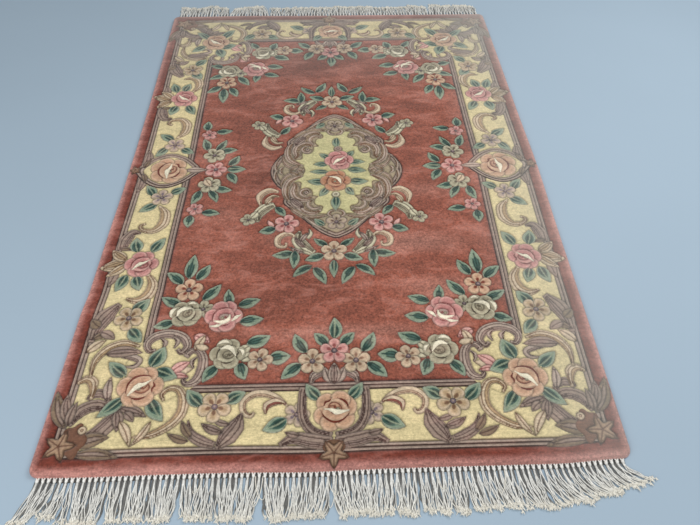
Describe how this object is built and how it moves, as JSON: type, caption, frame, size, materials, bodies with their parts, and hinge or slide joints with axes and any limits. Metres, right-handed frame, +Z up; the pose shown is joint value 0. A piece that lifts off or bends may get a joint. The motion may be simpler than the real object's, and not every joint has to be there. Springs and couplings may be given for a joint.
{
  "type": "carved wool rug with knotted end fringes",
  "caption": "Rectangular hand-knotted wool rug with a thick carved floral pile and a knotted cotton fringe at each end, lying flat.",
  "frame": {"origin": "middle of the underside of the rug with its fringes, on the floor it lies on", "axes": "+X across the rug, +Y along the rug towards its far end, +Z up out of the pile"},
  "size_m": [1.5836, 2.5254, 0.0176],
  "materials": {
    "wool_pile": "matte",
    "cotton_fringe": "matte"
  },
  "bodies": {
    "root": {"rug": "wool_pile", "fringe_near": "cotton_fringe", "fringe_far": "cotton_fringe"}
  },
  "joints": []
}
